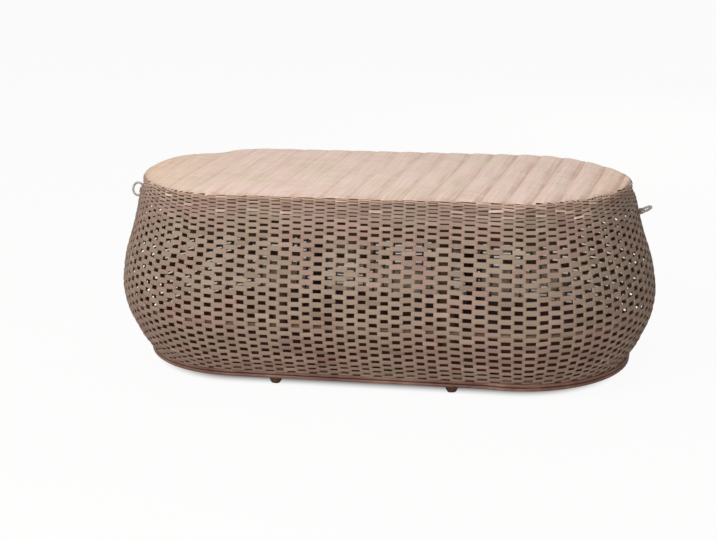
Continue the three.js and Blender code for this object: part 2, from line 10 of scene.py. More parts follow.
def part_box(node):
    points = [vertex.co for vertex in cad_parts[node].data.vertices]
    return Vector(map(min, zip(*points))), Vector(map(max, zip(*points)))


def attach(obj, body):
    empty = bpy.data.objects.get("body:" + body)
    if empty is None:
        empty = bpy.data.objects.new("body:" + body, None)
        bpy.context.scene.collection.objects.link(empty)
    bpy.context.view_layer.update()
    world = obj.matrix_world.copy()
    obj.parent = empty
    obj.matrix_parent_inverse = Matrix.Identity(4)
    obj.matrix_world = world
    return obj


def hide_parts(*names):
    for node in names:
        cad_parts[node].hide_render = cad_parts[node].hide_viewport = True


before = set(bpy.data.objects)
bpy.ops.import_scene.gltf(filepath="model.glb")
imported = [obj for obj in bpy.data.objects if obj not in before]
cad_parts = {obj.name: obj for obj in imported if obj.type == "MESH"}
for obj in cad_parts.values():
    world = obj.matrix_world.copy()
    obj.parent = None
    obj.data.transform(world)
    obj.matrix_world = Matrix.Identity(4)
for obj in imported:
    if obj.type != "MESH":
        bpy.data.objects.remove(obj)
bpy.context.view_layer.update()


# The hidden stand: rails, bearers and deck boards of dark stained softwood,
# sawn square, with their edges rubbed down. Each takes its shape from its CAD
# plank, with the edges eased; the grain runs the length of the plank.
class Shade:
    """A number or colour in a material. Its sums and products add Math nodes."""

    def __init__(self, work, socket):
        self.work = work
        self.socket = socket

    def output(self, number):
        return Shade(self.work, self.socket.node.outputs[number])

    def __add__(self, other):
        return self.work.maths("ADD", self, other)

    def __radd__(self, other):
        return self.work.maths("ADD", other, self)

    def __sub__(self, other):
        return self.work.maths("SUBTRACT", self, other)

    def __rsub__(self, other):
        return self.work.maths("SUBTRACT", other, self)

    def __mul__(self, other):
        return self.work.maths("MULTIPLY", self, other)

    def __rmul__(self, other):
        return self.work.maths("MULTIPLY", other, self)

    def __pow__(self, other):
        return self.work.maths("POWER", self, other)

    def __abs__(self):
        return self.work.maths("ABSOLUTE", self, 0.0)


class NodeWork:
    """The nodes of one material, or of the world."""

    def __init__(self, owner):
        owner.use_nodes = True
        self.tree = owner.node_tree

    def node(self, kind, settings, sockets, output=0):
        made = self.tree.nodes.new(kind)
        for name, value in settings.items():
            if name == "stops":
                while len(made.color_ramp.elements) < len(value):
                    made.color_ramp.elements.new(1)
                for element, (place, shade) in zip(made.color_ramp.elements, value):
                    element.position = place
                    element.color = shade
            else:
                setattr(made, name, value)
        for name, value in sockets.items():
            self.feed(made.inputs[name], value)
        return Shade(self, made.outputs[output])

    def maths(self, operation, first, second):
        return self.node("ShaderNodeMath", {"operation": operation}, {0: first, 1: second})

    def feed(self, socket, value):
        if isinstance(value, Shade):
            self.tree.links.new(value.socket, socket)
        else:
            socket.default_value = value


class Finish(NodeWork):
    """One material on the object."""

    def __init__(self, name, roughness):
        self.material = bpy.data.materials.new(name)
        super().__init__(self.material)
        self.surface = self.tree.nodes["Principled BSDF"]
        self.surface.inputs["Roughness"].default_value = roughness
        self.surface.inputs["Specular IOR Level"].default_value = 0.3

    def place(self):
        return self.node("ShaderNodeTexCoord", {}, {}, output=3)

    def noise(self, vector, scale, detail):
        stretched = self.node("ShaderNodeMapping", {}, {"Vector": vector, "Scale": scale})
        sockets = {"Vector": stretched, "Scale": 1.0, "Detail": detail}
        return self.node("ShaderNodeTexNoise", {"normalize": True}, sockets)

    def ramp(self, value, stops):
        return self.node("ShaderNodeValToRGB", {"stops": stops}, {"Fac": value})

    def between(self, low, high, value):
        settings = {"interpolation_type": "SMOOTHSTEP"}
        sockets = {"Value": value, "From Min": low, "From Max": high}
        return self.node("ShaderNodeMapRange", settings, sockets)

    def mixed(self, first, second, share):
        settings = {"data_type": "RGBA", "blend_type": "MIX"}
        return self.node("ShaderNodeMix", settings, {0: share, 6: first, 7: second}, output=2)

    def colour(self, value):
        self.feed(self.surface.inputs["Base Color"], value)

    def roughness(self, value):
        self.feed(self.surface.inputs["Roughness"], value)

    def bump(self, height, distance, strength=1.0):
        sockets = {"Height": height, "Distance": distance, "Strength": strength}
        self.feed(self.surface.inputs["Normal"], self.node("ShaderNodeBump", {}, sockets))


def srgb(red, green, blue):
    """A colour of a screen, from 0 to 255, as a socket takes it."""
    linear = []
    for part in (red / 255, green / 255, blue / 255):
        linear.append(part / 12.92 if part <= 0.04045 else ((part + 0.055) / 1.055) ** 2.4)
    return linear + [1.0]


def stained_wood(name, dark, light, grain):
    """Stained wood whose grain is stretched along one axis of the object."""
    wood = Finish(name, 0.6)
    place = wood.place()
    rings = wood.noise(place, [scale * 26 for scale in grain], 3.0)
    pores = wood.noise(place, [scale * 420 for scale in grain], 1.0)
    cloud = wood.noise(place, (9, 9, 9), 2.0)
    figure = rings * 0.6 + pores * 0.25 + cloud * 0.3
    wood.colour(wood.ramp(figure, [(0.35, dark), (0.78, light)]))
    wood.surface.inputs["Specular IOR Level"].default_value = 0.15
    wood.roughness(0.5 + pores * 0.35)
    wood.bump(rings * 0.4 + pores * 0.6, 0.0004, 0.6)
    return wood.material


def listed(name, body, material):
    """The finished piece of a bmesh, on the table's body."""
    mesh = bpy.data.meshes.new(name)
    body.to_mesh(mesh)
    body.free()
    mesh.materials.append(material)
    piece = bpy.data.objects.new(name, mesh)
    bpy.context.scene.collection.objects.link(piece)
    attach(piece, "table")
    return piece


def eased_plank(node, material, width=0.0012):
    """The plank of a CAD node, its edges rubbed down."""
    body = bmesh.new()
    body.from_mesh(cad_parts[node].data)
    bmesh.ops.remove_doubles(body, verts=body.verts, dist=1e-6)
    bmesh.ops.dissolve_limit(body, angle_limit=math.radians(1), verts=body.verts, edges=body.edges)
    piece = listed(node + "_eased", body, material)
    eased = piece.modifiers.new("eased", "BEVEL")
    eased.width = width
    eased.segments = 2
    eased.limit_method = "ANGLE"
    eased.angle_limit = math.radians(40)
    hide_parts(node)


frame_dark = srgb(60, 40, 30)
frame_light = srgb(104, 78, 60)
wood_along = stained_wood("stained_wood_along", frame_dark, frame_light, (0.06, 1, 1))
wood_across = stained_wood("stained_wood_across", frame_dark, frame_light, (1, 0.06, 1))
wood_upright = stained_wood("stained_wood_upright", frame_dark, frame_light, (1, 1, 0.06))
for side in ("front", "rear"):
    eased_plank(f"long_rail_{side}", wood_along)
for end in ("left", "right"):
    eased_plank(f"cross_rail_{end}", wood_across)
    eased_plank(f"base_rail_{end}", wood_across)
for number in range(1, 6):
    eased_plank(f"deck_bearer_{number}", wood_across)
    eased_plank(f"deck_board_{number}", wood_along)
for place in ("left", "middle", "right"):
    eased_plank(f"base_bearer_{place}", wood_across)


# Seven thin boards close the bottom of the table. They are stained a deep
# reddish brown and nailed down on the base frame; the outer two are cut round
# the legs.
slat_wood = stained_wood("dark_slat_wood", srgb(58, 26, 12), srgb(92, 48, 28), (0.06, 1, 1))
for number in range(1, 8):
    eased_plank(f"base_slat_{number}", slat_wood, width=0.0008)


# Four round legs, turned and stained dark, that splay outwards and end in a
# short tapered toe. Each is housed over its long rail and pegged to it.
rail_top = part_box("long_rail_front")[1].z
rail_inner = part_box("long_rail_rear")[0].y
stand_middle = -0.012
leg_top = (0.165, 0.150)
leg_foot = (0.194, 0.213)
leg_radius = 0.016
toe_radius = 0.010
toe_length = 0.022
rail_height = 0.060
housing_play = 0.0003
housing_block = (0.2, 0.1, 0.0606)
for end, side in ((-1, -1), (1, -1), (-1, 1), (1, 1)):
    name = f"{'front' if side < 0 else 'rear'}_{'left' if end < 0 else 'right'}"
    foot = Vector((stand_middle + leg_foot[0] * end, leg_foot[1] * side, 0))
    head = Vector((stand_middle + leg_top[0] * end, leg_top[1] * side, rail_top))
    rise = (head - foot).length
    turning = [
        (0, toe_radius - 0.002),
        (0.0015, toe_radius - 0.0004),
        (toe_length * 0.3, toe_radius + 0.0026),
        (toe_length * 0.65, leg_radius - 0.0018),
        (toe_length, leg_radius),
        (rise * 0.5, leg_radius),
        (rise, leg_radius),
    ]
    body = bmesh.new()
    bmesh.ops.create_circle(body, cap_ends=False, segments=32, radius=turning[0][1])
    ring = body.edges[:]
    bmesh.ops.edgeloop_fill(body, edges=ring)
    for (low, narrow), (high, wide) in zip(turning, turning[1:]):
        grown = bmesh.ops.extrude_edge_only(body, edges=ring)["geom"]
        ring = [part for part in grown if isinstance(part, bmesh.types.BMEdge)]
        verts = [part for part in grown if isinstance(part, bmesh.types.BMVert)]
        bmesh.ops.scale(body, verts=verts, vec=(wide / narrow, wide / narrow, 1))
        bmesh.ops.translate(body, verts=verts, vec=(0, 0, high - low))
    bmesh.ops.edgeloop_fill(body, edges=ring)
    upright = Vector((0, 0, 1)).rotation_difference(head - foot)
    bmesh.ops.rotate(body, verts=body.verts, matrix=upright.to_matrix())
    bmesh.ops.translate(body, verts=body.verts, vec=foot)
    for level, normal in ((0.0, (0, 0, 1)), (rail_top, (0, 0, -1))):
        everything = body.verts[:] + body.edges[:] + body.faces[:]
        plane = {"plane_co": (0, 0, level), "plane_no": normal, "clear_inner": True}
        cut = bmesh.ops.bisect_plane(body, geom=everything, **plane)["geom_cut"]
        edges = [part for part in cut if isinstance(part, bmesh.types.BMEdge)]
        if edges:
            bmesh.ops.edgeloop_fill(body, edges=edges)
    bmesh.ops.recalc_face_normals(body, faces=body.faces)
    for face in body.faces:
        face.smooth = len(face.verts) == 4
    leg = listed(f"turned_leg_{name}", body, wood_upright)
    housing = bmesh.new()
    bmesh.ops.create_cube(housing, size=1)
    bmesh.ops.scale(housing, verts=housing.verts, vec=housing_block)
    inward = rail_inner - housing_play + housing_block[1] / 2
    middle = (head.x, inward * side, rail_top - rail_height / 2)
    bmesh.ops.translate(housing, verts=housing.verts, vec=middle)
    housing_mesh = bpy.data.meshes.new("housing")
    housing.to_mesh(housing_mesh)
    housing.free()
    cutter = bpy.data.objects.new("housing", housing_mesh)
    bpy.context.scene.collection.objects.link(cutter)
    housed = leg.modifiers.new("housed", "BOOLEAN")
    housed.object = cutter
    housed.operation = "DIFFERENCE"
    housed.solver = "EXACT"
    bpy.context.view_layer.update()
    shaped = leg.evaluated_get(bpy.context.evaluated_depsgraph_get())
    leg_mesh = bpy.data.meshes.new_from_object(shaped)
    leg.modifiers.clear()
    leg.data = leg_mesh
    bpy.data.objects.remove(cutter)
    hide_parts(f"leg_{name}")
    eased_plank(f"leg_peg_{name}", wood_across, width=0.0005)


# Three hoops of round cane are lashed inside the wall, at the shoulder, under
# the bulge and at the foot. Each is bent from one long cane.
straight_half = 0.305


def round_the_oval(body, section, turns, spans):
    """Carries a section at the back of the left-hand end once round the oval."""
    for middle in (-straight_half, straight_half):
        turn = {"cent": (middle, 0, 0), "axis": (0, 0, 1), "angle": math.pi, "steps": turns}
        section = bmesh.ops.spin(body, geom=section, **turn)["geom_last"]
        for span in range(spans):
            edges = [part for part in section if isinstance(part, bmesh.types.BMEdge)]
            section = bmesh.ops.extrude_edge_only(body, edges=edges)["geom"]
            verts = [part for part in section if isinstance(part, bmesh.types.BMVert)]
            bmesh.ops.translate(body, verts=verts, vec=(-2 * middle / spans, 0, 0))
    bmesh.ops.remove_doubles(body, verts=body.verts, dist=1e-6)
    bmesh.ops.recalc_face_normals(body, faces=body.faces)


def past_middle(x, y):
    """How far a point lies from the line that the oval is drawn round."""
    return math.hypot(max(abs(x) - straight_half, 0), y)


def cane_hoop(name, radius, height, thickness, material):
    """A hoop of round cane that follows the oval plan."""
    body = bmesh.new()
    bmesh.ops.create_circle(body, segments=12, radius=thickness / 2)
    bmesh.ops.rotate(body, verts=body.verts, matrix=Matrix.Rotation(math.pi / 2, 3, "Y"))
    bmesh.ops.translate(body, verts=body.verts, vec=(-straight_half, radius, height))
    round_the_oval(body, body.verts[:] + body.edges[:], turns=36, spans=12)
    strand = body.verts.layers.float_vector.new("strand")
    for vert in body.verts:
        out = (past_middle(vert.co.x, vert.co.y) - radius) / thickness
        vert[strand] = (out, (vert.co.z - height) / thickness, 0.5)
    for face in body.faces:
        face.smooth = True
    return listed(name, body, material)


def cane_finish(name, deep, warm, pale):
    """Weathered cane: streaks along its length, reddish and pale patches."""
    cane = Finish(name, 0.55)
    strand = cane.node("ShaderNodeAttribute", {"attribute_name": "strand"}, {}, output=1)
    place = cane.place()
    drift = cane.node("ShaderNodeMapping", {}, {"Vector": place, "Scale": (9, 9, 9)})
    spread = cane.node("ShaderNodeMapping", {}, {"Vector": strand, "Scale": (9, 9, 9)})
    along = cane.node("ShaderNodeVectorMath", {"operation": "ADD"}, {0: drift, 1: spread})
    streaks = cane.noise(along, (1, 1, 1), 3.0)
    patches = cane.noise(place, (16, 16, 30), 2.0)
    fine = cane.noise(place, (220, 220, 220), 1.0)
    figure = streaks * 0.5 + patches * 0.4 + fine * 0.1
    cane.colour(cane.ramp(figure, [(0.36, deep), (0.5, warm), (0.66, pale)]))
    cane.roughness(0.4 + fine * 0.35)
    cane.bump(streaks, 0.0005, 0.6)
    return cane.material


hoop_cane = cane_finish("hoop_cane", srgb(70, 44, 32), srgb(104, 76, 58), srgb(140, 112, 92))
for node in ("shoulder_hoop", "mid_hoop", "foot_hoop"):
    low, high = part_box(node)
    thickness = high.z - low.z
    radius = high.y - thickness / 2
    piece = cane_hoop(node + "_cane", radius, (low.z + high.z) / 2, thickness, hoop_cane)
    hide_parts(node)


# The border of the wall, just under the top, is backed inside by a flat band of
# split cane, bent round the oval against the weave. It shows only in the border's
# slits, and its near-black colour is painted shade there, standing for the dark
# of the slits. It follows the curve that the wall is woven on.
bulge_radius = 0.295
rim_point = Vector((0.237, 0.018))
bulge_point = Vector((bulge_radius, 0.181))
top_point = Vector((0.238, 0.4137))
lip_middle = Vector((0.2306, 0.4158))
lip_radius = 0.0076
rim_band = 0.0156
curve_steps = 600
profile_steps = 1200
sweep_out_shares = (
    (0, 0),
    (0.05, 0),
    (0.1, 0.05),
    (0.2, 0.22),
    (0.3, 0.41),
    (0.46, 0.62),
    (0.63, 0.83),
    (0.8, 0.95),
    (1, 1),
)
draw_in_shares = (
    (0.135, 0.06),
    (0.266, 0.15),
    (0.4, 0.31),
    (0.53, 0.49),
    (0.71, 0.69),
    (0.82, 0.79),
    (0.885, 0.86),
    (0.93, 0.95),
    (0.96, 0.99),
    (1, 1),
)
sides = ((sweep_out_shares, rim_point, bulge_point), (draw_in_shares, bulge_point, top_point))
knots = [
    Vector((low.x + (high.x - low.x) * across, low.y + (high.y - low.y) * up))
    for shares, low, high in sides
    for up, across in shares
]


def through_knots(share):
    """A point of the smooth curve through the knots."""
    whole = min(int(share * (len(knots) - 1)), len(knots) - 2)
    part = share * (len(knots) - 1) - whole
    here, ahead = knots[whole], knots[whole + 1]
    leaving = (ahead - knots[max(whole - 1, 0)]) / 2
    arriving = (knots[min(whole + 2, len(knots) - 1)] - here) / 2
    cubic = 2 * here - 2 * ahead + leaving + arriving
    square = -3 * here + 3 * ahead - 2 * leaving - arriving
    return cubic * part**3 + square * part**2 + leaving * part + here


def evenly(points, count, start=0.0):
    """Points at equal steps along a line of points, from a distance along it."""
    reached = [0.0]
    for here, there in zip(points, points[1:]):
        reached.append(reached[-1] + (there - here).length)
    even = []
    segment = 0
    for step in range(count + 1):
        distance = start + (reached[-1] - start) * step / count
        while segment < len(reached) - 2 and reached[segment + 1] < distance:
            segment += 1
        share = (distance - reached[segment]) / (reached[segment + 1] - reached[segment])
        even.append(points[segment].lerp(points[segment + 1], share))
    return even, reached[-1] - start


side_curve = [through_knots(step / curve_steps) for step in range(curve_steps + 1)]
for turn in range(10, 80, 10):
    rounding = Vector((math.cos(math.radians(turn)), math.sin(math.radians(turn)))) * lip_radius
    side_curve.append(lip_middle + rounding)
profile, wall_length = evenly(side_curve, profile_steps, rim_band)

columns = 128
arc = math.pi * bulge_radius
perimeter = 4 * straight_half + 2 * arc
column_pitch = perimeter / columns

# The places where the worn top has risen or sunk: x, y, spread and height.
hollows = (
    (-0.505, 0.090, 0.045, 0.0025),
    (-0.438, 0.195, 0.032, -0.0050),
    (0.470, 0.120, 0.085, -0.0058),
)
settling_low, settling_reach = 0.36, 0.05


def part_way(value, start, length):
    """How much of a length a value has gone past its start, from 0 to 1."""
    return min(max((value - start) / length, 0), 1)


def settled(x, y):
    """How far the worn top has risen or sunk at a place."""
    return sum(
        depth * math.exp(-((x - left) ** 2 + (y - back) ** 2) / (2 * spread * spread))
        for left, back, spread, depth in hollows
    )


def plan_point(around, radius, height):
    """A point of the oval at a distance round the widest outline, from the right-hand tip."""
    around %= perimeter
    if around < arc / 2:
        centre, angle = straight_half, around / bulge_radius
    elif around < arc / 2 + 2 * straight_half:
        centre, angle = straight_half - (around - arc / 2), math.pi / 2
    elif around < 1.5 * arc + 2 * straight_half:
        centre, angle = -straight_half, (around - 2 * straight_half) / bulge_radius
    elif around < 1.5 * arc + 4 * straight_half:
        centre, angle = around - 1.5 * arc - 3 * straight_half, math.pi * 1.5
    else:
        centre, angle = straight_half, (around - perimeter) / bulge_radius
    return Vector((centre + radius * math.cos(angle), radius * math.sin(angle), height))


def wall_point(around, up, out):
    """A point of the wall, up its curve from the foot and out from its face."""
    place = min(max(up / wall_length, 0), 1) * profile_steps
    number = min(int(place), profile_steps - 1)
    low, high = profile[number], profile[number + 1]
    slope = (high - low).normalized()
    spot = low.lerp(high, place - number) + Vector((slope.y, -slope.x)) * out
    point = plan_point(around, spot.x, spot.y)
    near_top = part_way(spot.y, settling_low, settling_reach)
    point.z += settled(point.x, point.y) * near_top
    return point


def strip_shape(name, stations, section):
    """A short flat strip along X. Its length, width and lift are set where it is laid."""
    shape = bmesh.new()
    corners = [shape.verts.new((stations[0], across, lift)) for across, lift in section]
    ring = [shape.edges.new(pair) for pair in zip(corners, corners[1:] + corners[:1])]
    bmesh.ops.edgeloop_fill(shape, edges=ring)
    for here, there in zip(stations, stations[1:]):
        grown = bmesh.ops.extrude_edge_only(shape, edges=ring)["geom"]
        ring = [part for part in grown if isinstance(part, bmesh.types.BMEdge)]
        verts = [part for part in grown if isinstance(part, bmesh.types.BMVert)]
        bmesh.ops.translate(shape, verts=verts, vec=(there - here, 0, 0))
    bmesh.ops.edgeloop_fill(shape, edges=ring)
    bmesh.ops.recalc_face_normals(shape, faces=shape.faces)
    for face in shape.faces:
        face.smooth = True
    for edge in shape.edges:
        edge.smooth = edge.calc_face_angle(0) < math.radians(60)
    mesh = bpy.data.meshes.new(name)
    shape.to_mesh(mesh)
    shape.free()
    return mesh


def laid(name, shape, strips, place, material):
    """Many copies of a shape in one piece. place gives a copy's point and its strand."""
    body = bmesh.new()
    for strip in strips:
        body.from_mesh(shape)
    strand = body.verts.layers.float_vector.new("strand")
    body.verts.ensure_lookup_table()
    count = len(shape.vertices)
    for number, strip in enumerate(strips):
        for vert in body.verts[number * count : (number + 1) * count]:
            vert.co, vert[strand] = place(strip, *vert.co)
    return listed(name, body, material)


band_middle, band_half, band_inward = 0.0300, 0.0190, 0.0068
band_stations = [-1 + step / 2 for step in range(5)]
band_section = ((-1, 0), (1, 0), (1, -0.0008), (-1, -0.0008))
band = strip_shape("band_shape", band_stations, band_section)


def shade_band_in_wall(part, along, across, lift):
    """A point of one length of the band, which is as long as an upright's pitch."""
    up = wall_length - band_middle + across * band_half
    point = wall_point((part + along / 2) * column_pitch, up, lift - band_inward)
    return point, (across * 0.01, lift, 0.4)


# Painted shade: this near-black cane stands for the dark inside the border's slits.
slit_shade_cane = cane_finish("slit_shade_cane", srgb(40, 24, 17), srgb(60, 39, 29), srgb(88, 64, 50))
border_shade_band = laid("border_shade_band", band, range(columns), shade_band_in_wall, slit_shade_cane)
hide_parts("woven_wall")


# The wall is woven from flat palm strips over 128 upright canes. Every strip wraps
# round two uprights, half a row above or below its neighbours, which leaves it open
# like brickwork without its bricks. Under the top they are beaten into a border.
random.seed(7)


def strip_finish(name, pink, olive, soil, tuck_shade_line, edge_shade_line, streak, crest, crest_shares):
    """Dry flat palm strip: long fibres, pink and olive patches, soil flecks, and painted shade at
    its tucked ends and along its edges.

    It fades to the crest's colours, by one share near the top and one at both ends.
    """
    palm = Finish(name, 0.8)
    strand = palm.node("ShaderNodeAttribute", {"attribute_name": "strand"}, {}, output=1)
    split = palm.node("ShaderNodeSeparateXYZ", {}, {"Vector": strand})
    along, across, shade = split, split.output(1), split.output(2)
    place = palm.place()
    fibres = palm.noise(strand, (60, 1500, 83), 2.0)
    flecks = palm.noise(strand, (420, 900, 41), 1.0)
    patches = palm.noise(place, (13, 13, 13), 2.0)
    drift = palm.noise(place, (11, 11, 15), 2.0)
    left_right = palm.node("ShaderNodeSeparateXYZ", {}, {"Vector": place})
    back, height = left_right.output(1), left_right.output(2)
    leaning = {"X": left_right - rib_lean * back, "Y": back, "Z": height}
    streaks = palm.noise(palm.node("ShaderNodeCombineXYZ", {}, leaning), (170, 7, 7), 2.0)
    tone = shade * 0.6 + fibres * 0.3 + patches * 0.3 + (streaks - 0.5) * streak - 0.1
    hue = palm.between(0.38, 0.62, drift + 0.1 - abs(height - 0.24))
    colour = palm.mixed(palm.ramp(tone, pink), palm.ramp(tone, olive), hue)
    left_end = palm.between(0.34, 0.54, -1 * left_right)
    right_end = palm.between(0.40, 0.56, left_right)
    near_top = palm.between(0.4080, 0.4230, height + left_end * 0.011 + right_end * 0.006)
    top_share, end_share = crest_shares
    paler = near_top * top_share + (left_end + right_end) * end_share
    colour = palm.mixed(colour, palm.ramp(tone, crest), paler)
    # Painted shade: the soil colour is mixed in at the tucked ends and along the edges, where
    # shade falls; the flecks are real soil.
    shaded_ends = palm.between(tuck_shade_line[0], tuck_shade_line[1], abs(along))
    edges = palm.between(edge_shade_line[0], edge_shade_line[1], abs(across))
    spots = palm.between(0.64, 0.82, flecks)
    palm.colour(palm.mixed(colour, soil, shaded_ends * 0.22 + edges * 0.14 + spots * 0.1))
    palm.roughness(0.6 + fibres * 0.3)
    palm.bump(fibres * 0.8 + flecks * 0.2, 0.00035, 0.7)
    return palm.material


# The top stops serve the pale strips of the border and the painted light on the strips' inside
# faces.
wall_pink = [
    (0.1, srgb(108, 82, 73)),
    (0.42, srgb(136, 111, 99)),
    (0.62, srgb(148, 124, 111)),
    (0.85, srgb(170, 144, 130)),
    (1.0, srgb(236, 214, 197)),
]
wall_olive = [
    (0.1, srgb(104, 85, 71)),
    (0.42, srgb(133, 114, 98)),
    (0.62, srgb(145, 127, 111)),
    (0.85, srgb(167, 148, 131)),
    (1.0, srgb(232, 214, 194)),
]
wall_crest = [(0.1, srgb(138, 110, 95)), (0.5, srgb(168, 141, 124)), (0.9, srgb(202, 178, 161))]
rib_lean = 0.07
palm_strip = strip_finish(
    "palm_strip",
    pink=wall_pink,
    olive=wall_olive,
    # This colour serves the real soil flecks and the painted shade at the strips' ends and edges.
    soil=srgb(74, 46, 32),
    tuck_shade_line=(0.0150, 0.0160),
    edge_shade_line=(0.0044, 0.0056),
    streak=0.0,
    crest=wall_crest,
    crest_shares=(1.0, 0.0),
)

# The steps from row to row, down from the wall's top end, and the lift of a strip
# along its length: its left end lies over its neighbours' right ends.
top_drops = (
    0.0024, 0.0060, 0.0068, 0.0078, 0.0082, 0.0078,
    0.0099, 0.0135, 0.0135, 0.0170, 0.0185,
)
foot_drops = (0.0175, 0.0160, 0.0148, 0.0030)
open_pitch = 0.0187
open_span = wall_length - sum(top_drops) - sum(foot_drops)
open_rows = round(open_span / open_pitch)
drops = list(top_drops) + [open_span / open_rows] * open_rows + list(foot_drops[:-1])
rows = [wall_length - sum(drops[: number + 1]) for number in range(len(drops))]
stations = (-1, -0.94, -0.76, -0.53, 0, 0.53, 0.76, 0.94, 1)
lifts = (-0.0010, 0.0002, 0.0004, 0.0002, 0.0, -0.0002, -0.0003, -0.0006, -0.0015)
section = ((-1, 0), (-0.55, 0.0004), (0.55, 0.0004), (1, 0), (0, -0.0008))
bridge = strip_shape("bridge_shape", stations, section)


def row_height(number):
    """How far up the wall a row is, or a place between two rows."""
    whole = min(int(number), len(rows) - 2)
    return rows[whole] + (rows[whole + 1] - rows[whole]) * (number - whole)


border_height = 0.038
slit, opening, opening_reach = 0.0024, 0.0060, 0.06
foot_hole, foot_opening = 0.0044, 0.066


def hole_height(up):
    """The gap between two strips of a column: slits in the border, small holes at the foot."""
    opened = part_way(wall_length - up, border_height, opening_reach)
    return min(slit + opening * opened, foot_hole + up * foot_opening)


first_stake = 0.0130
front_middle = 1.5 * arc + 3 * straight_half
wide_from, wide_to, wide_gain = front_middle + 0.185, front_middle + 0.440, 0.028
wander = []
for stake in range(columns):
    rate, start = random.uniform(8, 22), random.uniform(0, 6.28)
    wander.append((rate, start, random.uniform(0.0002, 0.0009), random.gauss(0, 0.0006)))


def stake_place(number, up):
    """How far round the wall an upright stands. In one place they are set wider apart."""
    rate, start, reach, shift = wander[number % columns]
    place = number * column_pitch + shift + reach * math.sin(rate * up + start) + first_stake
    share = part_way(place, wide_from, wide_to - wide_from)
    return place + wide_gain * (share - place / perimeter)


rear_columns = columns // 2
rear_tightness = 0.48
loose_from, loose_to = 0.17, 0.52
least_half = 0.0018
wall_quarters = ([], [], [], [])
for column in range(columns):
    lean = random.gauss(0, 0.03)
    for row in range(len(rows)):
        middle = row + (column % 2) / 2
        if middle > len(rows) - 1:
            continue
        up = row_height(middle)
        high = row_height(middle - 0.5) if middle > 0 else wall_length
        low = row_height(middle + 0.5) if middle < len(rows) - 1 else 0.0
        in_border = wall_length - up < border_height
        hole = hole_height(up) * random.gauss(1, 0.16 if in_border else 0.08)
        if column < rear_columns:
            hole *= rear_tightness
        loosened = in_border and loose_from < column * column_pitch - front_middle < loose_to
        pale = in_border and random.random() < (0.35 if loosened else 0.06)
        strip = {
            "column": column,
            "up": up + random.gauss(0, 0.0003),
            "half": max((high - low - hole) / 2, least_half),
            "lap": 0.0028 if in_border else 0.0036,
            "lean": random.gauss(0, 0.06 if loosened else 0.012) + (0 if in_border else lean),
        }
        if loosened:
            strip["out"] = abs(random.gauss(0, 0.0008)) - 0.0012
        else:
            strip["out"] = random.gauss(-0.0012, 0.00012)
        strip["twist"] = random.gauss(0, 0.02)
        if pale:
            strip["shade"] = random.uniform(0.85, 1.15)
        else:
            strip["shade"] = min(max(random.gauss(0.47, 0.12), 0), 1)
        wall_quarters[column * 4 // columns].append(strip)

half_strip = 0.65
inside_painted_light, ends_painted_shade = 2.2, 3.0
painted_shade_from, painted_shade_reach = 0.33, 0.1


def strip_on_wall(strip, along, across, lift):
    """A point of a strip. Its inside face has painted light through the middle of the table and
    painted shade at the two ends.
    """
    station = min(range(len(stations)), key=lambda number: abs(stations[number] - along))
    up = strip["up"] + across * strip["half"] + strip["lean"] * along * column_pitch * half_strip
    left = stake_place(strip["column"], up)
    right = stake_place(strip["column"] + 1, up)
    right += perimeter * (right < left)
    reach = along * ((right - left) / 2 + strip["lap"])
    around = (left + right) / 2 + reach
    out = strip["out"] + lifts[station] + lift + across * strip["half"] * strip["twist"]
    point = wall_point(around, up, out)
    shade = strip["shade"]
    # Painted light: the inside face is made paler through the middle of the table; painted shade
    # makes it darker than the outside at the two ends.
    if lift < 0:
        shade += inside_painted_light - ends_painted_shade * part_way(abs(point.x), painted_shade_from, painted_shade_reach)
    return point, (reach, across * strip["half"], shade)


for name, strips in zip(("rear_right", "rear_left", "front_left", "front_right"), wall_quarters):
    piece = laid(f"woven_strips_{name}", bridge, strips, strip_on_wall, palm_strip)
    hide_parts("woven_wall")


# The uprights are thin round canes, hidden but for the chinks between strips
# and on the inside of the wall.
stake_cane = cane_finish("stake_cane", srgb(92, 66, 52), srgb(124, 98, 82), srgb(152, 126, 108))
rod_stations = [-1 + 2 * step / 14 for step in range(15)]
rod_section = [(math.cos(turn * math.pi / 3), math.sin(turn * math.pi / 3)) for turn in range(6)]
rod = strip_shape("upright_shape", rod_stations, rod_section)
rod_half_width, rod_half_depth, rod_inward = 0.0021, 0.0016, 0.0046
rod_length = wall_length - 0.003


def rod_in_wall(stake, along, across, lift):
    """A point of an upright, which stands from the foot to just under the top end."""
    up = (along + 1) / 2 * rod_length
    around = stake_place(stake, up) + across * rod_half_width
    point = wall_point(around, up, lift * rod_half_depth - rod_inward)
    return point, (across, lift, stake / columns)


uprights = laid("upright_canes", rod, range(columns), rod_in_wall, stake_cane)
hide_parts("woven_wall")


# Two canes lie one above the other at the foot, under the wall, with a thin one
# in the groove behind them. A reddish bark is left on them in places, and a band
# of split cane binds them where they meet.
rim_cane = cane_finish("rim_cane", srgb(76, 45, 37), srgb(112, 80, 69), srgb(148, 120, 105))
rim_inset, rim_thinning = 0.43, 0.97
for node in ("rim_cane_lower", "rim_cane_upper"):
    low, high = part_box(node)
    thickness = high.z - low.z
    radius = high.y - thickness * rim_inset
    height = (low.z + high.z) / 2
    piece = cane_hoop(node + "_round", radius, height, thickness * rim_thinning, rim_cane)
    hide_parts(node)
filler_inset, filler_thickness = 0.0081, 0.0050
lower_cane, upper_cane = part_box("rim_cane_lower"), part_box("rim_cane_upper")
groove_radius = (lower_cane[1].y + upper_cane[1].y) / 2 - filler_inset
groove_height = (lower_cane[1].z + upper_cane[0].z) / 2
cane_hoop("rim_filler_cane", groove_radius, groove_height, filler_thickness, hoop_cane)
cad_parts["rim_lashing"].material_slots[0].material = rim_cane


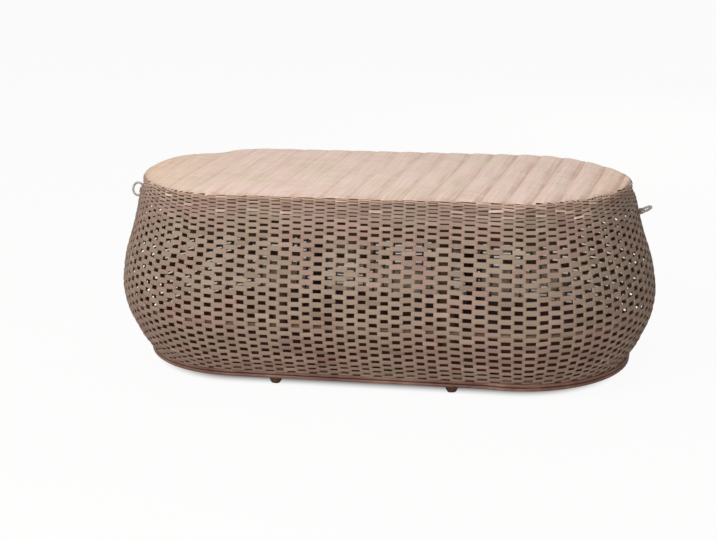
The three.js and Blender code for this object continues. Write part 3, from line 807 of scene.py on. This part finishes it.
# The top is a thick mat, padded in ribs that run across the table and lean a
# little; its edge is rounded over and tucked into the border of the wall. The
# ribs are wider at the left-hand end and stand higher at the right-hand one.
mat_low = 0.4143
mat_level = 0.4221
mat_radius = 0.2372
mat_edge = 0.0062
padding_low = mat_low + 0.0004
rib_swell = 0.0026
rib_swell_right = 0.0072
rib_skew = 0.6
rib_start = -0.485
rib_wide = 0.0605
rib_narrowing = 0.00026
rib_runout = 0.02
least_swell = 0.0017
fuller_from, fuller_reach = -0.15, 0.45


def rib_number(x, y):
    """The rib a place is on, counted from the left, with the share of the way across it."""
    past = x - rib_lean * y - rib_start
    return (rib_wide - math.sqrt(rib_wide**2 - 4 * rib_narrowing * past)) / (2 * rib_narrowing)


def rib_edge(number, y):
    """Where the groove before a rib crosses the table at a distance y from its middle."""
    return rib_start + rib_lean * y + rib_wide * number - rib_narrowing * number**2


def fullness(x):
    """How far the ribs have filled out, from the left-hand end's 0 to the right's 1."""
    return part_way(x, fuller_from, fuller_reach)


def padding_height(x, y):
    """The top of the padding, without the swell of its ribs."""
    inside = max(mat_radius - past_middle(x, y), 0)
    fall = mat_edge - math.sqrt(mat_edge**2 - max(mat_edge - inside, 0) ** 2)
    return mat_level - fall + settled(x, y)


def mat_height(x, y):
    """The height at which the floats lie over the ribs."""
    share = (rib_number(x, y) % 1) ** rib_skew
    inside = max(mat_radius - past_middle(x, y), 0)
    more = (rib_swell_right - rib_swell) * fullness(x)
    swell = (rib_swell + more) * (1 - (2 * share - 1) ** 2) - more * 0.5
    swell *= min(inside / rib_runout, 1)
    return max(padding_height(x, y) + swell, padding_low + least_swell)


edge_steps = (0, 0.0006, 0.002, 0.004, 0.007, 0.012, 0.02)
middle_steps = (0.035, 0.055, 0.08, 0.11, 0.14, 0.17, 0.2)
edge_sunk, sunk_slope, sunk_from, sunk_reach = 0.0007, 0.22, 0.006, 0.016
mat_body = bmesh.new()
chain = [mat_body.verts.new((-straight_half, mat_radius, mat_low))]
for inward in edge_steps + middle_steps:
    chain.append(mat_body.verts.new((-straight_half, mat_radius - inward, mat_level)))
links = [mat_body.edges.new(pair) for pair in zip(chain, chain[1:])]
round_the_oval(mat_body, chain + links, turns=60, spans=122)
for level in (mat_low, mat_level):
    open_edges = [edge for edge in mat_body.edges if edge.is_boundary]
    rim = [edge for edge in open_edges if abs(edge.verts[0].co.z - level) < 1e-4]
    bmesh.ops.contextual_create(mat_body, geom=rim)
caps = [face for face in mat_body.faces if len(face.verts) > 4]
bmesh.ops.triangulate(mat_body, faces=[max(caps, key=lambda face: face.calc_center_median().z)])
bmesh.ops.recalc_face_normals(mat_body, faces=mat_body.faces)
strand = mat_body.verts.layers.float_vector.new("strand")
for vert in mat_body.verts:
    vert[strand] = (0, 0, 0.4)
    if vert.co.z > mat_low + 0.001:
        inside = mat_radius - past_middle(vert.co.x, vert.co.y)
        sunk = edge_sunk + sunk_slope * min(max(inside - sunk_from, 0), sunk_reach)
        vert.co.z = max(padding_height(vert.co.x, vert.co.y) - sunk, padding_low)
for face in mat_body.faces:
    face.smooth = face.calc_center_median().z > mat_low + 0.0005
# Painted shade: the mat takes the dark hoop cane, so it reads as shade where it shows between and
# round the floats.
mat = listed("padded_mat", mat_body, hoop_cane)
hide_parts("woven_top")


# Over the padding, each rib is covered with short floats of the same strip in
# its palest part, side by side, tucked into the grooves on both sides.
top_pink = [
    (0.15, srgb(200, 168, 152)),
    (0.42, srgb(222, 195, 180)),
    (0.6, srgb(229, 204, 191)),
    (0.9, srgb(240, 219, 207)),
]
top_olive = [
    (0.15, srgb(196, 172, 150)),
    (0.42, srgb(218, 197, 177)),
    (0.6, srgb(226, 206, 186)),
    (0.9, srgb(238, 221, 203)),
]
top_ends = [(0.15, srgb(192, 158, 132)), (0.5, srgb(222, 193, 168)), (0.9, srgb(238, 214, 192))]
palm_float = strip_finish(
    "palm_float",
    pink=top_pink,
    olive=top_olive,
    # This colour serves the real soil flecks and the painted shade at the floats' ends, tucked
    # into the grooves, and along their edges.
    soil=srgb(120, 92, 72),
    tuck_shade_line=(0.0250, 0.0310),
    edge_shade_line=(0.0028, 0.0038),
    streak=0.7,
    crest=top_ends,
    crest_shares=(0.0, 0.8),
)
float_pitch = 0.0064
float_stations = (-1, -0.93, -0.7, -0.35, 0, 0.35, 0.7, 0.93, 1)
float_section = ((-1, 0), (-0.5, 0.0004), (0.5, 0.0004), (1, 0), (0, -0.0006))
float_shape = strip_shape("float_shape", float_stations, float_section)
float_radius = mat_radius - 0.0042
narrowest_float, shortest_float = 0.0020, 0.008
float_tuck = 0.0008
floats = []
for rib in range(-2, 20):
    for row in range(-37, 38):
        y = (row + (rib % 2) / 2) * float_pitch + random.gauss(0, 0.0002)
        inner = abs(y) - float_pitch / 2
        outer = min(abs(y) + float_pitch / 2, float_radius)
        if outer - inner < narrowest_float:
            continue
        y = math.copysign((inner + outer) / 2, y)
        end = straight_half + math.sqrt(float_radius**2 - y * y)
        low = max(rib_edge(rib, y) - float_tuck, -end)
        high = min(rib_edge(rib + 1, y) + float_tuck, end)
        if high - low < shortest_float:
            continue
        floats.append({
            "middle": (low + high) / 2,
            "half": (high - low) / 2,
            "y": y,
            "width": (outer - inner) / 2 + random.gauss(0.0004, 0.0001),
            "lean": random.gauss(0, 0.006),
            "bow": random.gauss(0, 0.0003),
            "out": random.gauss(0.0003, 0.00004),
            "shade": min(max(random.gauss(0.5, 0.05), 0), 1),
        })


tuck_from, tuck_depth = 0.8, 0.0010
groove_lean, groove_from = 0.1, 0.45
painted_groove_shade, painted_groove_shade_right = 0.12, 0.42
front_edge_reach, front_edge_darkening = 0.03, 0.28
fibre_half = 0.029


def float_on_mat(strip, along, across, lift):
    """A point of a float, darkened with painted shade towards the grooves, more to the right, and
    darker near the front edge.
    """
    x = strip["middle"] + along * strip["half"]
    y = strip["y"] + across * strip["width"] + strip["lean"] * along * strip["half"]
    y += strip["bow"] * (1 - along * along)
    tuck = tuck_depth * max(abs(along) - tuck_from, 0) / 0.2
    z = mat_height(x, y) + strip["out"] + lift - tuck
    # Painted shade: the float darkens towards the grooves, most at its right-hand end and more
    # towards the table's right, as if lit from the left.
    groove_painted_shade = max(abs(along + groove_lean) - groove_from, 0) / 0.65
    # The floats are darker within a short reach of the front edge of the top.
    near_front_edge = max(1 - (float_radius - past_middle(x, y)) / front_edge_reach, 0)
    shade = strip["shade"] - groove_painted_shade * (painted_groove_shade + painted_groove_shade_right * fullness(x))
    shade -= front_edge_darkening * near_front_edge * (y < 0)
    return (x, y, z), (along * fibre_half, across * strip["width"], shade)


top_floats = laid("top_floats", float_shape, floats, float_on_mat, palm_float)
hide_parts("woven_top")


# At each end a loop of two-ply cord turns in a keeper of bound cane. The left
# one hangs open and upright; the right one lies flat and tilts up a little.
cord = Finish("loop_cord", 0.9)
cord_place = cord.place()
lint = cord.noise(cord_place, (900, 900, 900), 2.0)
soil = cord.noise(cord_place, (120, 120, 120), 1.0)
cord_stops = [(0.3, srgb(120, 104, 94)), (0.55, srgb(186, 178, 172)), (0.8, srgb(214, 208, 204))]
cord.colour(cord.ramp(lint * 0.4 + soil * 0.6, cord_stops))
cord.bump(lint, 0.0003)
ply_radius = 0.00155
ply_offset = 0.0014
ply_twists = 9
path_steps = 128
loop_half, loop_bow, loop_reach = 0.006, 0.019, 0.021

# Where each loop hangs, the way that it reaches out, and the line of its back.
seats = {
    "left": ((-0.561241, 0, 0.369565), (-0.96293, 0, 0.26975), (-0.26975, 0, -0.96293)),
    "right": ((0.564211, 0, 0.357311), (0.91132, 0, 0.41170), (0, 1, 0)),
}
for side, seat in seats.items():
    anchor, outward, back = (Vector(part) for part in seat)
    run = [(0, -loop_half), (0, -loop_half / 3), (0, loop_half / 3)]
    out_bend = ((0, loop_half), (0, loop_bow), (loop_reach, loop_bow), (loop_reach, 0))
    back_bend = ((loop_reach, 0), (loop_reach, -loop_bow), (0, -loop_bow), (0, -loop_half))
    for bend in (out_bend, back_bend):
        knot_points = [Vector((*knot, 0)) for knot in bend]
        run += [tuple(point[:2]) for point in interpolate_bezier(*knot_points, 16)[:-1]]
    normal = back.cross(outward)
    route = [anchor + outward * x + back * z for x, z in run + run[:1]]
    path = evenly(route, path_steps)[0]
    for ply in range(2):
        curve = bpy.data.curves.new(f"{side}_ply_{ply + 1}", "CURVE")
        curve.dimensions = "3D"
        curve.bevel_depth = ply_radius
        curve.bevel_resolution = 3
        spline = curve.splines.new("POLY")
        spline.points.add(len(path) - 2)
        spline.use_cyclic_u = True
        for number, point in enumerate(spline.points):
            ahead = (path[number + 1] - path[number - 1 if number else -2]).normalized()
            turn = math.tau * (number / path_steps * ply_twists + ply / 2)
            offset = normal * math.sin(turn) + ahead.cross(normal) * math.cos(turn)
            point.co = (*(path[number] + offset * ply_offset), 1)
        lent = bpy.data.objects.new(curve.name, curve)
        bpy.context.scene.collection.objects.link(lent)
        ply_mesh = bpy.data.meshes.new_from_object(lent)
        bpy.data.objects.remove(lent)
        ply_mesh.materials.append(cord.material)
        ply_mesh.polygons.foreach_set("use_smooth", [True] * len(ply_mesh.polygons))
        piece = bpy.data.objects.new(f"{side}_loop_ply_{ply + 1}", ply_mesh)
        bpy.context.scene.collection.objects.link(piece)
        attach(piece, f"{side}_loop")
        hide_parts(f"loop_{side}")
    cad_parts[f"loop_keeper_{side}"].material_slots[0].material = stake_cane


# A pale floor, soft studio light from the upper left, the front and behind,
# and the camera of the photograph. The floor shows white to the camera, except
# round the foot and behind the table, where it is seen through the weave; there
# its colour is painted darker, a painted shadow of the table.
floor_half = 9
floor_body = bmesh.new()
bmesh.ops.create_grid(floor_body, x_segments=1, y_segments=1, size=floor_half)
floor_mesh = bpy.data.meshes.new("floor")
floor_body.to_mesh(floor_mesh)
floor_body.free()
floor = bpy.data.objects.new("floor", floor_mesh)
bpy.context.scene.collection.objects.link(floor)
shadow_slant, shadow_spread, shadow_length = 0.18, 0.2, 1.1
painted_shadow_tone, far_tone = (0.55, 0.50, 0.45, 1), (0.71, 0.67, 0.63, 1)
whitening = 0.94
pale = Finish("pale_floor", 0.9)
spot = pale.node("ShaderNodeSeparateXYZ", {}, {"Vector": pale.place()})
behind = pale.maths("MAXIMUM", spot.output(1), 0.0)
shadow_half = behind * shadow_spread + straight_half
aside = pale.maths("MAXIMUM", abs(spot + behind * shadow_slant) - shadow_half, 0.0)
beyond = pale.maths("MAXIMUM", behind - shadow_length, -1 * spot.output(1))
beyond = pale.maths("MAXIMUM", beyond, 0.0)
away = (aside * aside + beyond * beyond) ** 0.5
open_floor = pale.between(0.17, 0.23, away)
# Painted shadow: the floor's colour is darker round the foot and behind the table.
pale.colour(pale.mixed(painted_shadow_tone, far_tone, pale.between(0.02, 0.30, away)))
seen = pale.node("ShaderNodeLightPath", {}, {})
white = pale.node("ShaderNodeEmission", {}, {"Color": (1, 1, 1, 1), "Strength": 1.0})
lit = Shade(pale, pale.surface.outputs[0])
both = pale.node("ShaderNodeMixShader", {}, {0: seen * open_floor * whitening, 1: lit, 2: white})
pale.feed(pale.tree.nodes["Material Output"].inputs["Surface"], both)
floor_mesh.materials.append(pale.material)

world_level = 0.37
world = bpy.data.worlds.new("studio")
bpy.context.scene.world = world
studio = NodeWork(world)
rays = studio.node("ShaderNodeLightPath", {}, {})
mirrored = studio.maths("MAXIMUM", rays, rays.output(3))
direct = studio.maths("MAXIMUM", mirrored, rays.output(6))
levels = {"Value": direct, "To Min": world_level, "To Max": 1.0}
level = studio.node("ShaderNodeMapRange", {}, levels)
backdrop = studio.tree.nodes["Background"]
backdrop.inputs["Color"].default_value = (1, 1, 1, 1)
studio.feed(backdrop.inputs["Strength"], level)

lit_point = Vector((0, 0, 0.2))
for name, place, size, energy in (
    ("upper_left", (-1.3, -2.1, 2.6), 1.2, 60),
    ("front", (0.2, -3.4, 1.35), 1.6, 57),
    ("behind", (0.9, 2.9, 1.5), 1.8, 24),
):
    lamp = bpy.data.lights.new(name, "AREA")
    lamp.shape = "SQUARE"
    lamp.size = size
    lamp.energy = energy
    light = bpy.data.objects.new(name, lamp)
    light.location = place
    light.rotation_mode = "QUATERNION"
    light.rotation_quaternion = (lit_point - Vector(place)).to_track_quat("-Z", "Y")
    bpy.context.scene.collection.objects.link(light)

camera_place = (0.62746, -3.39694, 1.21101)
camera_turn, camera_dip, camera_roll = 11.46, 16.27, -0.99
view = bpy.data.cameras.new("camera")
view.lens = 80.55
view.sensor_width = 36
camera = bpy.data.objects.new("camera", view)
bpy.context.scene.collection.objects.link(camera)
heading = Matrix.Rotation(math.radians(camera_turn), 4, "Z")
tilt = Matrix.Rotation(math.radians(90 - camera_dip), 4, "X")
roll = Matrix.Rotation(math.radians(camera_roll), 4, "Z")
camera.matrix_world = Matrix.Translation(camera_place) @ heading @ tilt @ roll
bpy.context.scene.camera = camera

bpy.context.scene.view_settings.view_transform = "Standard"
